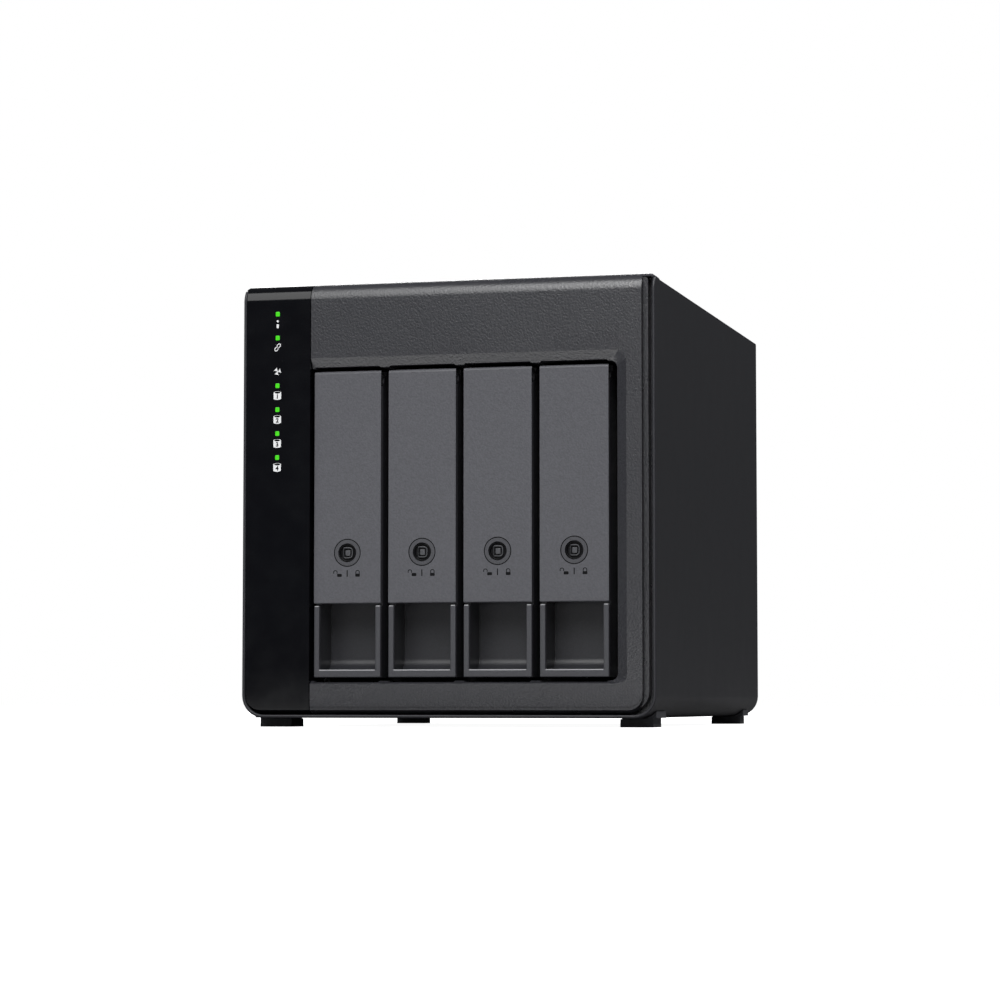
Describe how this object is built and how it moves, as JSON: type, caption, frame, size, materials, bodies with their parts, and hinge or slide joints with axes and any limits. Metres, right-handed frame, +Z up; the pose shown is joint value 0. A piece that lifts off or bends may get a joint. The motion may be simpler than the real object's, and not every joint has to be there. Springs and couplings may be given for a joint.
{
  "type": "disk enclosure",
  "caption": "Desktop disk enclosure with pull-out drive trays under hinged, lockable levers, a glossy indicator column, a rear fan and rubber feet.",
  "frame": {"origin": "under the middle of the case, on the surface that the feet stand on", "axes": "+Z up, the trays face -Y, +X to the right seen from the front"},
  "size_m": [0.16, 0.219, 0.168],
  "materials": {
    "case_paint": "satin, fine texture",
    "bezel_plastic": "fine leather grain",
    "gloss_plastic": "high gloss",
    "tray_plastic": "fine texture",
    "lever_plastic": "fine texture",
    "lock_plastic": "semi gloss",
    "clear_plastic": "lit green",
    "circuit_board": "solder mask",
    "socket_plastic": "fine texture",
    "zinc_steel": "zinc plated",
    "black_steel": "black oxide",
    "fan_plastic": "smooth",
    "foot_rubber": "matte",
    "printed_marks": "screen print"
  },
  "bodies": {
    "chassis": {"outer_shell": "case_paint", "top_cover": "case_paint", "front_bezel": "bezel_plastic", "indicator_panel": "gloss_plastic", "light_pipe": "clear_plastic", "indicator_board": "circuit_board", "drive_cage": "zinc_steel", "upper_rail_guide": "socket_plastic", "lower_rail_guide": "socket_plastic", "backplane_board": "circuit_board", "drive_socket_1": "socket_plastic", "drive_socket_2": "socket_plastic", "drive_socket_3": "socket_plastic", "drive_socket_4": "socket_plastic", "rear_panel": "case_paint", "fan_frame": "fan_plastic", "fan_guard": "black_steel", "fan_screw_1": "black_steel", "fan_screw_2": "black_steel", "fan_screw_3": "black_steel", "fan_screw_4": "black_steel", "cover_screw_1": "black_steel", "cover_screw_2": "black_steel", "controller_board": "circuit_board", "host_port": "zinc_steel", "power_jack": "socket_plastic", "button_switch": "socket_plastic", "foot_front_left": "foot_rubber", "foot_front_right": "foot_rubber", "foot_rear_left": "foot_rubber", "foot_rear_right": "foot_rubber"},
    "tray_1": {"drive_tray_1": "tray_plastic", "lever_pin_1": "zinc_steel"},
    "lever_1": {"tray_lever_1": "lever_plastic"},
    "lock_1": {"lock_core_1": "lock_plastic"},
    "tray_2": {"drive_tray_2": "tray_plastic", "lever_pin_2": "zinc_steel"},
    "lever_2": {"tray_lever_2": "lever_plastic"},
    "lock_2": {"lock_core_2": "lock_plastic"},
    "tray_3": {"drive_tray_3": "tray_plastic", "lever_pin_3": "zinc_steel"},
    "lever_3": {"tray_lever_3": "lever_plastic"},
    "lock_3": {"lock_core_3": "lock_plastic"},
    "tray_4": {"drive_tray_4": "tray_plastic", "lever_pin_4": "zinc_steel"},
    "lever_4": {"tray_lever_4": "lever_plastic"},
    "lock_4": {"lock_core_4": "lock_plastic"},
    "fan": {"fan_rotor": "fan_plastic"},
    "button": {"power_button": "socket_plastic"}
  },
  "joints": [
    {"name": "tray_slide_1", "type": "slide", "parent": "chassis", "child": "tray_1", "axis": [0, -1, 0], "range_m": [0, 0.15]},
    {"name": "lever_hinge_1", "type": "hinge", "parent": "tray_1", "child": "lever_1", "pos_m": [-0.039, -0.1042, 0.1308], "axis": [-1, 0, 0], "range_deg": [0, 45]},
    {"name": "lock_turn_1", "type": "hinge", "parent": "lever_1", "child": "lock_1", "pos_m": [-0.039, -0.107, 0.0655], "axis": [0, 1, 0], "range_deg": [-90, 0]},
    {"name": "tray_slide_2", "type": "slide", "parent": "chassis", "child": "tray_2", "axis": [0, -1, 0], "range_m": [0, 0.15]},
    {"name": "lever_hinge_2", "type": "hinge", "parent": "tray_2", "child": "lever_2", "pos_m": [-0.00972, -0.1042, 0.1308], "axis": [-1, 0, 0], "range_deg": [0, 45]},
    {"name": "lock_turn_2", "type": "hinge", "parent": "lever_2", "child": "lock_2", "pos_m": [-0.00972, -0.107, 0.0655], "axis": [0, 1, 0], "range_deg": [-90, 0]},
    {"name": "tray_slide_3", "type": "slide", "parent": "chassis", "child": "tray_3", "axis": [0, -1, 0], "range_m": [0, 0.15]},
    {"name": "lever_hinge_3", "type": "hinge", "parent": "tray_3", "child": "lever_3", "pos_m": [0.01956, -0.1042, 0.1308], "axis": [-1, 0, 0], "range_deg": [0, 45]},
    {"name": "lock_turn_3", "type": "hinge", "parent": "lever_3", "child": "lock_3", "pos_m": [0.01956, -0.107, 0.0655], "axis": [0, 1, 0], "range_deg": [-90, 0]},
    {"name": "tray_slide_4", "type": "slide", "parent": "chassis", "child": "tray_4", "axis": [0, -1, 0], "range_m": [0, 0.15]},
    {"name": "lever_hinge_4", "type": "hinge", "parent": "tray_4", "child": "lever_4", "pos_m": [0.04884, -0.1042, 0.1308], "axis": [-1, 0, 0], "range_deg": [0, 45]},
    {"name": "lock_turn_4", "type": "hinge", "parent": "lever_4", "child": "lock_4", "pos_m": [0.04884, -0.107, 0.0655], "axis": [0, 1, 0], "range_deg": [-90, 0]},
    {"name": "fan_spin", "type": "hinge", "parent": "chassis", "child": "fan", "pos_m": [0, 0.1, 0.0943], "axis": [0, 1, 0], "continuous": true},
    {"name": "power_press", "type": "slide", "parent": "chassis", "child": "button", "axis": [0, -1, 0], "range_m": [0, 0.002], "stiffness_N_per_m": 500, "springref_m": -0.0005}
  ]
}
